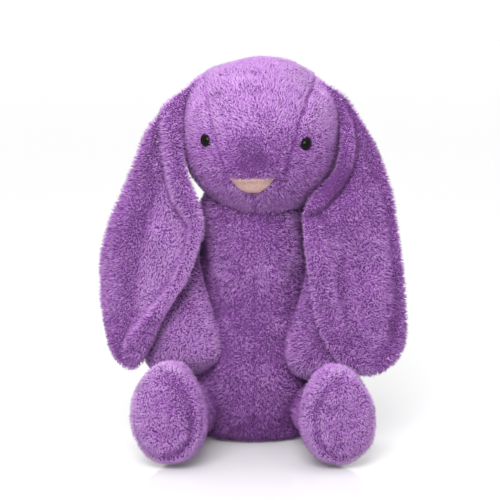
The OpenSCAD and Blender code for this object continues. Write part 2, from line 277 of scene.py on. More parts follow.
def grow(name, skins, spacing, length, comb, mats, lean=0.5, width=0.95 * MM, clump=2.2 * MM, pull=0.75,
         keep=None, shorten=None, tone=None, parts=1):
    """Pile on skins as closed tapered tufts. spacing is the area of skin to a tuft, comb(points, normals) the
    way it lies, keep(points, normals) says which points carry pile, shorten(points, normals) is a factor on
    its length and tone(points, normals) lightens or darkens it by shades. Pile in creases is painted darker,
    as shade, and on ridges a little lighter. parts is the number of meshes."""
    roots, norms, creases = [], [], []
    for ob in skins:
        v, nv = co_of(ob), normals_of(ob)
        ob.data.calc_loop_triangles()
        tri = np.empty(len(ob.data.loop_triangles) * 3, int)
        ob.data.loop_triangles.foreach_get("vertices", tri)
        tri = tri.reshape(-1, 3)
        area = np.linalg.norm(np.cross(v[tri[:, 1]] - v[tri[:, 0]], v[tri[:, 2]] - v[tri[:, 0]]), axis=1) / 2
        total = area.cumsum()
        n = int(total[-1] / spacing)
        pick = np.searchsorted(total, (np.arange(n) + RNG.uniform(0, 1, n)) / n * total[-1] * 0.999999)
        r1, r2 = np.sqrt(RNG.uniform(0, 1, n)), RNG.uniform(0, 1, n)
        w = np.stack([1 - r1, r1 * (1 - r2), r1 * r2], 1)[:, :, None]
        roots.append((v[tri[pick]] * w).sum(1))
        norms.append((nv[tri[pick]] * w).sum(1))
        creases.append((hollows(ob)[tri[pick]] * w[:, :, 0]).sum(1))
    p, nrm, crease = np.concatenate(roots), np.concatenate(norms), np.concatenate(creases)
    nrm /= np.linalg.norm(nrm, axis=1)[:, None]
    if keep is not None:
        on = keep(p, nrm)
        p, nrm, crease = p[on], nrm[on], crease[on]
    n = len(p)
    way = 0.7 * comb(p, nrm) + 0.45 * swirl(p, 5 * MM) + 0.7 * RNG.normal(size=(n, 3))
    way -= nrm * (way * nrm).sum(1)[:, None]
    way /= np.linalg.norm(way, axis=1)[:, None] + 1e-9
    lift = tone(p, nrm) if tone is not None else np.zeros(n)
    calm = 1 / (1 + np.clip(lift, 0, 1.5))  # light pile lies smoother
    tilt = lean * (1 + 0.28 * RNG.normal(size=n) + 0.25 * swirl(p, 6 * MM)[:, 0]) + 0.4 * np.clip(lift, 0, 1)
    tilt = np.clip(tilt, 0.15, 1.35)[:, None]
    size = length * (1 + 0.16 * RNG.normal(size=n) + 0.12 * swirl(p, 14 * MM)[:, 1])
    if shorten is not None:
        size = size * shorten(p, nrm)
    size = np.clip(size, 0.2 * length, 1.6 * length)[:, None]
    line = nrm * np.cos(tilt) + way * np.sin(tilt)
    tip = p + line * size
    # tufts draw the tips of their fibres together
    cell = np.floor((p + 0.8 * MM * RNG.normal(size=p.shape)) / clump).astype(np.int64)
    key = (cell[:, 0] * 73856093) ^ (cell[:, 1] * 19349663) ^ (cell[:, 2] * 83492791)
    _, tuft = np.unique(key, return_inverse=True)
    count = np.bincount(tuft)
    centre = np.stack([np.bincount(tuft, tip[:, k]) / count for k in range(3)], 1)
    draw = pull * (1 - 0.5 * np.clip(lift, 0, 1.4))[:, None]
    tip = tip + draw * (centre[tuft] - tip) * (0.6 + 0.4 * RNG.uniform(0, 1, (n, 1)))
    low = tip[:, 2] < 0.4 * MM
    tip[low, 2] = 0.4 * MM + 0.2 * MM * RNG.uniform(0, 1, low.sum())
    line = tip - p
    line /= np.linalg.norm(line, axis=1)[:, None] + 1e-9
    across = np.cross(line, nrm + 0.01)
    across /= np.linalg.norm(across, axis=1)[:, None] + 1e-9
    along = np.cross(line, across)
    start = p - nrm * 0.6 * MM
    half = width * (0.75 + 0.5 * RNG.uniform(0, 1, (n, 1))) / 2
    verts = np.stack([
        start + across * half,
        start - across * half * 0.5 + along * half * 0.87,
        start - across * half * 0.5 - along * half * 0.87,
        tip], 1).reshape(-1, 3)
    # outward winding
    a, b, c, d = verts[0::4], verts[1::4], verts[2::4], verts[3::4]
    flip = (np.cross(b - a, c - a) * (d - a)).sum(1) > 0
    shade = calm * (RNG.normal(size=count.size)[tuft] * 1.05 + RNG.normal(size=n) * 0.65)
    # pile in creases is painted darker as shade and on ridges a little lighter; lift adds each part's tone
    shade += (len(mats) - 1) / 2 - np.clip(crease / (0.8 * MM), -0.7, 2.4) + lift
    shade = np.clip(np.round(shade), 0, len(mats) - 1).astype(int)
    made = []
    for k in range(parts):
        mine = np.arange(n) % parts == k
        label = name if parts == 1 else "%s_%d" % (name, k + 1)
        made.append(tufts(label, verts.reshape(n, 12)[mine].reshape(-1, 3), flip[mine], shade[mine], mats))
    return made


def tufts(name, verts, flip, shade, mats):
    """One mesh of four-sided tufts, four corners each."""
    n = len(flip)
    base = (np.arange(n) * 4)[:, None]
    faces = np.concatenate([
        base + f for f in ([0, 1, 3], [1, 2, 3], [2, 0, 3], [0, 2, 1])], 1).reshape(n, 4, 3)
    faces[flip] = faces[flip][:, :, ::-1]
    faces = faces.reshape(-1, 3)
    me = bpy.data.meshes.new(name)
    me.vertices.add(len(verts))
    me.vertices.foreach_set("co", verts.ravel())
    me.loops.add(len(faces) * 3)
    me.loops.foreach_set("vertex_index", faces.ravel())
    me.polygons.add(len(faces))
    me.polygons.foreach_set("loop_start", np.arange(len(faces)) * 3)
    me.polygons.foreach_set("loop_total", np.full(len(faces), 3))
    for m in mats:
        me.materials.append(m)
    me.polygons.foreach_set("material_index", np.repeat(shade, 4))
    me.update(calc_edges=True)
    me.validate()
    ob = bpy.data.objects.new(name, me)
    bpy.context.scene.collection.objects.link(ob)
    return ob


def down(p, nrm):
    return np.tile([0.0, 0.0, -1.0], (len(p), 1))


# ---------------------------------------------------------------- head

head_low, head_high = box("head_stuffing")
HEAD = (head_low + head_high) / 2
HEAD_R = (head_high - head_low).mean() / 2 + 7.4 * MM  # the cover's outer face
TURN = math.radians(5)  # the head looks a little towards its right
nose_low, nose_high = box("nose_patch")
NOSE_TOP = nose_high[2] - HEAD[2] + 1 * MM
NOSE_TALL = 0.83 * (nose_high[2] - nose_low[2])
HEAD_X = np.array([math.cos(TURN), -math.sin(TURN), 0])
HEAD_Y = np.array([math.sin(TURN), math.cos(TURN), 0])


def to_head(p):
    """Row-frame points in the head's own frame: x to its left, -y ahead."""
    q = p - HEAD
    return np.stack([q @ HEAD_X, q @ HEAD_Y, q[:, 2]], 1)


def from_head(q):
    return HEAD + q[:, :1] * HEAD_X + q[:, 1:2] * HEAD_Y + q[:, 2:] * np.array([0, 0, 1])


def gusset_edge(z):
    """Half the gusset's width at a height above the head's middle."""
    return 26 * MM + np.clip(z - NOSE_TOP, 0, None) * 0.30


def head_seams(q):
    """How near a point of the head is to a seam, 1 on it."""
    x, y, z = q.T
    top = z > NOSE_TOP
    side = bell(np.abs(x) - gusset_edge(z), 1.9 * MM) * (top | (y > 0)) * np.where(x > 0, 0.9, 0.5)
    chin = 0.45 * bell(x - NOSE_X, 1.8 * MM) * (z < NOSE_TOP - 17 * MM) * (y < 0)
    return np.maximum(side, chin)


EYE_R = 6.9 * MM
INSET = 3.4 * MM
NOSE_X = to_head((nose_low + nose_high)[None, :] / 2)[0, 0]


def eye_dir(s):
    """The way an eye looks, from the middle of the head."""
    d = middle("eye_" + SIDE[s]) - HEAD
    return d / np.linalg.norm(d)


def head_skin():
    b = bmesh.new()
    bmesh.ops.create_icosphere(b, subdivisions=6, radius=1.0)
    me = bpy.data.meshes.new("head_skin")
    b.to_mesh(me)
    b.free()
    ob = bpy.data.objects.new("head_skin", me)
    bpy.context.scene.collection.objects.link(ob)
    me.materials.append(skin_mat)
    me.polygons.foreach_set("use_smooth", [True] * len(me.polygons))
    d = co_of(ob)
    r = np.full(len(d), HEAD_R - 2.6 * MM)
    # the gathered roots of the ears pull the head out
    for s, up, out in ((-1, 0.66, 6.5), (1, 0.50, 5.0)):
        root = np.array([s * math.cos(up), 0.04, math.sin(up)])
        r += out * MM * bell(np.arccos(np.clip(d @ root, -1, 1)), 0.36)
    # the crown is flatter and the cheeks and chin fuller than a ball
    r += 2.8 * MM * np.abs(d[:, 0]) ** 3
    r -= 3.6 * MM * np.clip(d[:, 2], 0, 1) ** 2.5
    r += 7.5 * MM * np.clip(-d[:, 2], 0, 1) ** 1.5 * np.clip(0.6 - d[:, 1], 0, 1)
    # the muzzle stands out a little round the nose, and overhangs it
    nose_dir = np.array([-0.02, -math.cos(0.42), -math.sin(0.42)])
    r += 4.5 * MM * bell(np.arccos(np.clip(d @ nose_dir, -1, 1)), 0.38)
    nose_line = (bell(d[:, 2] - (NOSE_TOP - 3 * MM) / HEAD_R, 0.05)
                 * bell(d[:, 0] - NOSE_X / HEAD_R, 0.36) * (d[:, 1] < 0))
    r -= 2.2 * MM * nose_line
    bridge = np.array([0.01, -math.cos(0.22), -math.sin(0.22)])
    r -= 3.6 * MM * bell(np.arccos(np.clip(d @ bridge, -1, 1)), 0.10)
    # soft hollows where the eyes pull the face in
    for s in (-1, 1):
        eye = to_head(HEAD + eye_dir(s)[None, :])[0]
        r -= 3.2 * MM * bell(np.arccos(np.clip(d @ eye, -1, 1)), 0.13)
    r += 0.8 * MM * swirl(d * 0.075, 22 * MM)[:, 0]
    q = d * r[:, None]
    q -= d * (head_seams(q) * 2.6 * MM)[:, None]
    set_co(ob, from_head(q))
    return ob


head = head_skin()


def head_comb(p, nrm):
    q = to_head(p)
    up_from_nose = q - np.array([0, -70 * MM, NOSE_TOP])
    up_from_nose /= np.linalg.norm(up_from_nose, axis=1)[:, None]
    way = (up_from_nose[:, :1] * HEAD_X + up_from_nose[:, 1:2] * HEAD_Y
           + up_from_nose[:, 2:] * np.array([0, 0, 1]))
    back = np.clip((q[:, 1] + 10 * MM) / (40 * MM), 0, 1)[:, None]
    return way * (1 - back) + down(p, nrm) * back * 1.2


def nose_half(z):
    """Half the nose's width at a height below its top edge, as a share of its full half width."""
    t = np.clip(-z / NOSE_TALL, 0, 1)
    return np.clip(1 - t**1.5, 0, 1) ** 0.62


NOSE_W = (nose_high[0] - nose_low[0]) / 2


def on_nose(q, grow_by=0.0):
    x, y, z = q.T
    drop = z - NOSE_TOP
    inside = (drop < grow_by - 1.0 * MM) & (drop > -NOSE_TALL - grow_by)
    return inside & (np.abs(x - NOSE_X) < NOSE_W * nose_half(drop) + grow_by) & (y < 0)


def head_keep(p, nrm):
    q = to_head(p)
    ok = ~on_nose(q, -0.6 * MM)
    for s in (-1, 1):
        d = p - HEAD
        d /= np.linalg.norm(d, axis=1)[:, None]
        ok &= np.arccos(np.clip(d @ eye_dir(s), -1, 1)) > EYE_R / HEAD_R * 0.9
    return ok


def head_shorten(p, nrm):
    q = to_head(p)
    f = 1 - 0.5 * head_seams(q)
    face = bell(np.linalg.norm(q - np.array([0, -66 * MM, NOSE_TOP]), axis=1), 45 * MM)
    return f * (1 - 0.12 * face)


def head_tone(p, nrm):
    """The crown's pile lies smooth and is painted lighter, as light from above; the muzzle's is darker."""
    q = to_head(p)
    muzzle = 0.5 * bell(np.linalg.norm(q - np.array([0, -74 * MM, NOSE_TOP + 2 * MM]), axis=1), 24 * MM)
    patch = bell(q[:, 0] - NOSE_X, 19 * MM) * bell(q[:, 2] - NOSE_TOP - 11 * MM, 9 * MM) * (q[:, 1] < 0)
    muzzle += (1.5 + 1.1 * swirl(p, 7 * MM)[:, 0]) * patch
    muzzle += (0.8 * bell(q[:, 2] - NOSE_TOP - 4 * MM, 3 * MM)
               * bell(q[:, 0] - NOSE_X, 18 * MM) * (q[:, 1] < 0))
    # painted light: the pile is lighter towards the top of the head, where light from above falls
    painted_top_light = np.clip((q[:, 2] + 14 * MM) / (34 * MM), 0, 1)
    # by_head paints shade where the ears lie close
    return 1.5 * painted_top_light - 1.4 * muzzle - 0.2 - 1.5 * head_seams(q) - 1.6 * by_head(p, nrm)


# ---------------------------------------------------------------- torso

_, w_high = box("torso_back_left")
TORSO_FLAT = w_high[1] / w_high[0]
# outline above the floor, height and half width, in mm
TORSO = [
    (1.4, 30), (2.2, 50), (5, 58), (13, 65), (30, 69), (50, 70), (84, 68), (124, 63.5), (160, 60),
    (190, 58.5), (212, 57.5), (230, 56), (242, 52.5), (252, 43), (259, 29), (262, 10)]


def torso_skin():
    rings = []
    a = np.linspace(0, 2 * math.pi, 144, endpoint=False)
    for z, r in curve_through(TORSO, np.linspace(0, len(TORSO) - 1, 110)):
        rx = r * MM - INSET
        ry = r * MM * TORSO_FLAT - INSET
        x, y = rx * np.sin(a), -ry * np.cos(a)
        y = y - 3.5 * MM * bell(z - 60, 60) * np.clip(np.cos(a), 0, 1)
        seam = np.maximum(bell(x, 2.2 * MM), bell(y, 2.4 * MM)) * (z > 12)
        k = 1 - seam * 1.5 * MM / rx
        rings.append(np.stack([x * k, y * k, np.full(144, z * MM)], 1))
    verts, faces = loft(rings)
    ob = make("torso_skin", verts, faces, [skin_mat])
    v, nv = co_of(ob), normals_of(ob)
    lump = 1.0 * MM * swirl(v, 26 * MM)[:, 0] * np.clip(v[:, 2] / (20 * MM), 0, 1)
    set_co(ob, v + nv * lump[:, None])
    return ob


torso = torso_skin()


def torso_seams(p):
    return np.maximum(bell(p[:, 0], 1.8 * MM), bell(p[:, 1], 1.8 * MM))


# ---------------------------------------------------------------- arms

LEAN = math.radians(19)
ARM_IN = math.radians(2)
ARM_LONG = 157 * MM
ARM_HALF = 39.5 * MM
ARM_FLAT = 0.76
ARM = [
    (-0.13, 0.20), (-0.11, 0.38), (-0.06, 0.51), (0.02, 0.545), (0.2, 0.56), (0.4, 0.64), (0.56, 0.79),
    (0.69, 0.94), (0.79, 1.01), (0.87, 1.0), (0.93, 0.90), (0.97, 0.72), (0.993, 0.46), (1.0, 0.15)]


def arm_skin(s):
    # the left arm hangs a little lower
    long = ARM_LONG + (6.5 * MM if s > 0 else 0)
    rings = []
    for h, w in curve_through(ARM, np.linspace(0, len(ARM) - 1, 90)):
        a = np.linspace(0, 2 * math.pi, 96, endpoint=False)
        rx = max(ARM_HALF * w - INSET, 0.6 * MM)
        ry = max(ARM_HALF * ARM_FLAT * w - INSET, 0.6 * MM)
        x, y = rx * np.sin(a), -ry * np.cos(a)
        seam = bell(y, 2.0 * MM) * (np.abs(x) > 2 * MM)
        k = 1 - seam * 1.8 * MM / max(rx, 8 * MM)
        z = -h * long + (INSET if h > 0.9 else 0) * max(0, (h - 0.9) / 0.1)
        rings.append(np.stack([x * k, y * k, np.full(96, z)], 1))
    verts, faces = loft(rings)
    v = np.array(verts)
    lean = np.array(Matrix.Rotation(-LEAN, 3, "X") @ Matrix.Rotation(s * ARM_IN, 3, "Y"))
    v = v @ lean.T + SHOULDER[s]
    ob = make("arm_%s_skin" % SIDE[s], v, faces, [skin_mat])
    v, nv = co_of(ob), normals_of(ob)
    set_co(ob, v + nv * (1.0 * MM * swirl(v, 20 * MM)[:, :1]))
    return ob


arms = {s: arm_skin(s) for s in (-1, 1)}

# ---------------------------------------------------------------- legs and feet

FOOT_TURN = math.radians(15)
FOOT = [
    (0.06, -26.5), (0.3, -26.2), (0.55, -24.6), (0.76, -21.8), (0.88, -18.6), (0.94, -15.2), (0.985, -10.5),
    (1.0, -4.0), (0.985, 4.0), (0.94, 11.5), (0.84, 19.0), (0.66, 25.0), (0.4, 29.0), (0.08, 30.0)]


def foot_axes(s):
    c, n = math.cos(s * FOOT_TURN), math.sin(s * FOOT_TURN)
    return np.array([[c, n, 0], [-n, c, 0], [0, 0, 1]])  # rows: across, back, up


def foot_middle(s):
    low, high = box("sole_" + SIDE[s])
    z = (low[2] + high[2]) / 2
    return np.array([(s * 79 - 1.5) * MM, -128 * MM, z])


def to_foot(s, p):
    return (p - foot_middle(s)) @ foot_axes(s).T


def leg_skin(s):
    low, high = box("sole_" + SIDE[s])
    mid = foot_middle(s)
    half_w, half_h = (high[0] - low[0]) / 2, (high[2] - low[2]) / 2 + 0.5 * MM
    if s < 0:  # the right foot is stuffed a little fuller
        half_w, half_h, mid = half_w + 1.6 * MM, half_h + 2.2 * MM, mid + np.array([0, 0, 1.9 * MM])
    rings = []
    a = np.linspace(0, 2 * math.pi, 96, endpoint=False)
    for w, d in curve_through(FOOT, np.linspace(0, len(FOOT) - 1, 60)):
        rx, rz = max(half_w * w - INSET, 0.5 * MM), max(half_h * w - INSET, 0.5 * MM)
        d = np.sign(d) * (abs(d) * MM - INSET * abs(d) / 30)
        # an egg, broader at the heel
        z = rz * np.cos(a)
        x = rx * np.sin(a) * (1 - 0.10 * np.cos(a))
        rings.append(np.stack([x, np.full(96, d), z], 1))
    fv, ff = loft(rings)
    fv = np.array(fv) @ foot_axes(s) + mid
    ankle = np.array([s * 80 * MM, -118 * MM, 45 * MM])
    run = ankle - HIP[s]
    z_axis = run / np.linalg.norm(run)
    x_axis = np.cross(z_axis, [0, 0, 1.0])
    x_axis /= np.linalg.norm(x_axis)
    y_axis = np.cross(z_axis, x_axis)
    rings = []
    for h in np.linspace(-1, 1, 60):
        thin = 6 * MM * bell(h - 0.65, 0.36)  # the shin is slimmer and lower, but stays clear of the floor
        if h < 0:
            t = -26.5 * MM * math.sin(-h * math.pi / 2)
            rr = 26.5 * MM * math.cos(-h * math.pi / 2) + 0.3 * MM
        else:
            t = h * np.linalg.norm(run)
            rr = 26.5 * MM - thin
        at = HIP[s] + z_axis * t - np.array([0, 0, 1.5 * thin if h > 0 else 0])
        rings.append(at + np.outer(np.cos(a), x_axis) * rr + np.outer(np.sin(a), y_axis) * rr)
    lv, lf = loft(rings)
    n = len(fv)
    verts = np.concatenate([fv, np.array(lv)])
    faces = list(ff) + [tuple(i + n for i in f) for f in lf]
    ob = make("leg_%s_skin" % SIDE[s], verts, faces, [skin_mat])
    ob = fuse(ob, 2.2 * MM, 12)
    v, nv = co_of(ob), normals_of(ob)
    q = to_foot(s, v)
    seam = sole_seam(q) * np.clip(0.45 - s * q[:, 0] / (30 * MM), 0.15, 1)
    v = v - nv * (seam * 2.6 * MM)[:, None] + nv * (0.8 * MM * swirl(v, 20 * MM)[:, :1])
    v[:, 2] = np.maximum(v[:, 2], 2.2 * MM)
    set_co(ob, v)
    return ob


def sole_seam(q):
    rim = np.hypot(q[:, 0] / 36, q[:, 2] / 49) / MM
    return bell(q[:, 1] + 17.5 * MM, 1.9 * MM) * (rim > 0.6)


legs = {s: leg_skin(s) for s in (-1, 1)}

# ---------------------------------------------------------------- ears

EAR_TURN = math.radians(20)
EAR_LEAN = math.radians(15)
# A scratch program worked these three tables out from points picked on the photograph. That is a fault.
# the outline, outwards and up from the root, in mm
EAR_LINE = {
    -1: [[-14, 4], [-4, -5], [6, -14], [16, -26], [31, -50], [51, -86], [72, -127], [85, -172], [82, -214],
         [69, -251], [52, -266], [38, -261], [12, -221], [-7, -188], [-16, -157], [-21, -132], [-16, -110],
         [-9, -90], [-4, -70], [-2, -45], [-4, -20]],
    1: [[-8, 0], [7, -7], [20, -17], [37, -42], [56, -80], [69.5, -130], [79, -172], [83, -213], [81, -240],
        [66, -262], [38, -273], [19, -268], [2, -253], [-12, -217], [-19, -165], [-22, -130], [-19, -113],
        [-9, -100], [1, -89], [7, -75], [10, -55], [10, -30], [3, -12]]}
# for each height, how far out the lobe along the outer edge starts, and how far out the rim along the inner
# edge reaches
EAR_LOBE = {
    -1: [[-270, 58], [-250, 57], [-237, 52], [-212, 47], [-188, 44], [-157, 40], [-126, 33], [-100, 23],
         [-81, 15], [-64, 15], [-40, 16], [-10, 17]],
    1: [[-262, 45], [-249, 58], [-219, 68], [-164, 66], [-117, 58], [-86, 45], [-59, 32], [-40, 22],
        [-10, 12]]}
EAR_RIM = {
    -1: [[-270, 56], [-250, 55], [-238, 50], [-220, 34], [-201, 20], [-185, 9], [-166, -1], [-150, -6],
         [-135, -7], [-127, -3], [-114, 6], [-100, 10], [-81, 13], [-64, 14], [-40, 15], [-10, 15]],
    1: [[-262, 40], [-235, 22], [-200, 9], [-181, 7], [-163, 3], [-143, -2], [-128, -8], [-125, -13],
        [-115, -1], [-96, 13], [-81, 20], [-61, 24], [-39, 21], [-20, 12], [-5, 5]]}


def across_at(line, h):
    p = np.array(line, float)
    return float(np.interp(h, p[:, 0], p[:, 1]))


def closed_curve(points, n):
    p = np.array(points, float)
    k = len(p)
    out = []
    for i in range(k):
        a, b, c, d = p[i - 1], p[i], p[(i + 1) % k], p[(i + 2) % k]
        for j in range(n):
            f = j / n
            out.append(0.5 * (
                2 * b + (c - a) * f + (2 * a - 5 * b + 4 * c - d) * f**2 + (3 * b - a - 3 * c + d) * f**3))
    return np.array(out)


def spans(line, heights):
    """The lowest and highest first coordinate of a closed outline at each height."""
    out = []
    q = np.roll(line, -1, axis=0)
    for h in heights:
        cut = (line[:, 1] - h) * (q[:, 1] - h) <= 0
        a, b = line[cut], q[cut]
        f = (h - a[:, 1]) / np.where(np.abs(b[:, 1] - a[:, 1]) < 1e-9, 1e-9, b[:, 1] - a[:, 1])
        x = a[:, 0] + f * (b[:, 0] - a[:, 0])
        out.append((x.min(), x.max()))
    return np.array(out)


def cushion(u, a, b, fat):
    """A rounded rise between a and b; the smaller fat is, the squarer its shoulders."""
    if b - a < 0.5:
        return np.zeros_like(u)
    k = np.clip((u - a) / (b - a), 0, 1)
    return np.sin(k * math.pi) ** fat


def ear_depth(s, u, h, inner, outer):
    """How far the ear's face stands forward of its mean sheet, in mm, at u out and h up from the root."""
    lobe, rim = across_at(EAR_LOBE[s], h), across_at(EAR_RIM[s], h)
    lobe, rim = min(lobe, outer - 6), max(rim, inner + 4)
    if s < 0:
        tall = np.interp(h, [-265, -240, -200, -100, -40, 0], [2, 5, 7, 8.5, 7, 3])
        out = tall * cushion(u, lobe, outer + 6, 0.7)
        fold = np.clip((h + 140) / 14, 0, 1)
        out += ((7 * (1 - fold) + 11.5 * fold) * cushion(u, inner - 4, rim, 0.75 - 0.35 * fold)
                * np.interp(h, [-262, -235, -20, 0], [0, 1, 1, 0.4]))
        out -= 3.5 * fold * np.exp(-(((u - rim - 3.5) / 3.5) ** 2))
        out -= (3.0 * cushion(u, rim - 2, lobe + 2, 1.0)
                * np.interp(h, [-250, -190, -120, -90], [0.6, 1, 1, 0]))
        return out
    out = 4.5 * cushion(u, lobe, outer + 5, 0.8) * np.interp(h, [-268, -240, -60, -20], [0.3, 1, 1, 0.5])
    if h > -127:
        flap = np.interp(h, [-127, -118, -30, 0], [0, 1, 1, 0.5])
        out += 11 * flap * cushion(u, inner - 8, rim, 0.35)
        out -= 3.5 * flap * np.exp(-(((u - rim - 3.5) / 3.5) ** 2))
        out -= 1.6 * flap * np.exp(-(((u - rim + 5.5) / 1.4) ** 2))
    else:
        out += 4.5 * cushion(u, inner - 3, rim, 0.8) * np.interp(h, [-262, -230, -135, -127], [0.2, 1, 1, 0])
    out -= 3.5 * np.exp(-(((u - 30) / 16) ** 2)) * np.interp(h, [-255, -225, -130, -100], [0, 1, 1, 0])
    out += 2.5 * np.exp(-(((u - 50) / 12) ** 2)) * np.exp(-(((h + 190) / 40) ** 2))
    return out


def ear_skin(s):
    line = closed_curve(EAR_LINE[s], 8)
    top, end = line[:, 1].max(), line[:, 1].min()
    m = 130
    t = np.linspace(0.0, 1.0, m + 1)[1:-1]
    heights = top + (end - top) * ((1 - np.cos(t * math.pi)) / 2 * 0.35 + t * 0.65)
    rings = []
    k = 70
    c = np.linspace(0, math.pi, k)
    share = (1 - np.cos(c)) / 2 * 0.6 + np.linspace(0, 1, k) * 0.4  # 0 outer .. 1 inner, crowded at the edges
    for (x0, x1), z in zip(spans(line, heights), heights):
        shrink = min(2.4, (x1 - x0) * 0.3)
        x0, x1 = x0 + shrink, x1 - shrink
        x = x1 + (x0 - x1) * share
        fwd = ear_depth(s, x, z, x0, x1) * min(1.0, (x1 - x0) / 26)
        x = x / math.cos(EAR_TURN)
        sheet = 96 - np.sqrt(120.0**2 - (x - 34) ** 2) + 10.5
        thick = 4.4 * np.sqrt(np.clip(1 - (2 * share - 1) ** 6, 0, 1)) * min(1, 0.4 + (x1 - x0) / 40)
        front = sheet - fwd - thick
        back = sheet - fwd * 0.75 + thick
        ring_x = np.concatenate([x, x[::-1][1:-1]])
        ring_y = np.concatenate([front, back[::-1][1:-1]])
        rings.append(np.stack([s * ring_x, ring_y, np.full(len(ring_x), z / math.cos(EAR_LEAN))], 1) * MM)
    verts, faces = loft(rings)
    v = np.array(verts)
    turn = np.array(Matrix.Rotation(s * EAR_TURN, 3, "Z"))
    lean = np.array(Matrix.Rotation(-EAR_LEAN, 3, "X"))
    v = v @ turn.T @ lean.T + EAR_ROOT[s]
    ob = make("ear_%s_skin" % SIDE[s], v, faces, [skin_mat])
    sm = ob.modifiers.new("ease", "SMOOTH")
    sm.iterations = 3
    sm.factor = 0.5
    ob = applied(ob)
    v, nv = co_of(ob), normals_of(ob)
    set_co(ob, v + nv * (0.9 * MM * swirl(v, 24 * MM)[:, :1]))
    return ob


ears = {s: ear_skin(s) for s in (-1, 1)}

# ---------------------------------------------------------------- tail


def tail_skin_mesh():
    low, high = box("tail_cover")
    mid, r = (low + high) / 2, (high - low).mean() / 2 - 7 * MM
    b = bmesh.new()
    bmesh.ops.create_icosphere(b, subdivisions=4, radius=r)
    me = bpy.data.meshes.new("tail_skin")
    b.to_mesh(me)
    b.free()
    ob = bpy.data.objects.new("tail_skin", me)
    bpy.context.scene.collection.objects.link(ob)
    me.materials.append(tail_skin)
    me.polygons.foreach_set("use_smooth", [True] * len(me.polygons))
    v = co_of(ob)
    set_co(ob, v + mid)
    return ob


tail = tail_skin_mesh()

# ---------------------------------------------------------------- filling pressure


CLOTH_FRAMES = 20


def stuffed(ob, held, most=2.0 * MM):
    """The filling pushes on the cloth. A coarse copy is simulated as cloth under pressure, held where
    held(points) is above 0.5. The way it moves, without its growth, is carried over to the skin, up to
    most."""
    coarse = ob.copy()
    coarse.data = ob.data.copy()
    bpy.context.scene.collection.objects.link(coarse)
    grid = coarse.modifiers.new("grid", "REMESH")
    grid.mode = "VOXEL"
    grid.voxel_size = 6 * MM
    coarse = applied(coarse)
    start, nrm = co_of(coarse), normals_of(coarse)
    pins = coarse.vertex_groups.new(name="held")
    pins.add([int(i) for i in np.where(held(start) > 0.5)[0]], 1.0, "REPLACE")
    cloth = coarse.modifiers.new("cloth", "CLOTH")
    s = cloth.settings
    s.quality = 5
    s.mass = 0.3
    s.bending_stiffness = 0.3
    s.shrink_min = -0.04
    s.use_pressure = True
    s.uniform_pressure_force = 4
    s.vertex_group_mass = "held"
    s.effector_weights.gravity = 0
    cloth.collision_settings.use_collision = False
    cloth.point_cache.frame_start = 1
    cloth.point_cache.frame_end = CLOTH_FRAMES
    for f in range(1, CLOTH_FRAMES + 1):
        bpy.context.scene.frame_set(f)
    end = co_of(coarse.evaluated_get(bpy.context.evaluated_depsgraph_get()))
    bpy.context.scene.frame_set(1)
    move = end - start
    out = (move * nrm).sum(1)
    free = held(start) <= 0.5
    move -= nrm * np.median(out[free]) * free[:, None]
    size = np.linalg.norm(move, axis=1)
    move *= np.minimum(1, most / np.maximum(size, 1e-9))[:, None]
    bpy.data.objects.remove(coarse, do_unlink=True)
    near = KDTree(len(start))
    for i, q in enumerate(start):
        near.insert(q, i)
    near.balance()
    v = co_of(ob)
    for i, q in enumerate(v):
        hits = near.find_n(q, 4)
        w = np.array([1 / (h[2] + 0.5 * MM) for h in hits])
        v[i] = q + (move[[h[1] for h in hits]] * w[:, None]).sum(0) / w.sum()
    set_co(ob, v)


stuffed(head, lambda p: head_seams(to_head(p)))
stuffed(torso, torso_seams)
for s in (-1, 1):
    stuffed(arms[s], lambda p, s=s: (np.linalg.norm(p - SHOULDER[s], axis=1) < 18 * MM) * 1.0)
    stuffed(legs[s], lambda p, s=s: np.maximum(
        sole_seam(to_foot(s, p)), np.linalg.norm(p - HIP[s], axis=1) < 22 * MM))


def tree_of(ob):
    return BVHTree.FromPolygons(
        [v.co for v in ob.data.vertices], [tuple(f.vertices) for f in ob.data.polygons])


def beside(others, reach=11 * MM):
    """How closely another skin faces each point, from 0 to 1. The pile there is painted darker, as shade."""
    trees = [tree_of(ob) for ob in others]

    def shade(p, nrm):
        out = np.zeros(len(p))
        for i in range(len(p)):
            for tree in trees:
                spot, _, _, away = tree.find_nearest(Vector(p[i]), 2 * reach)
                if spot is not None and (np.array(spot) - p[i]) @ nrm[i] > 0:
                    out[i] = max(out[i], math.exp(-((away / reach) ** 2)))
        return out

    return shade


# ---------------------------------------------------------------- nose and eyes


face_tree = tree_of(head)


def on_face(d):
    """The point of the head's skin in a direction from its middle."""
    return np.array(face_tree.ray_cast(Vector(HEAD + d * 0.2), Vector(-d))[0])


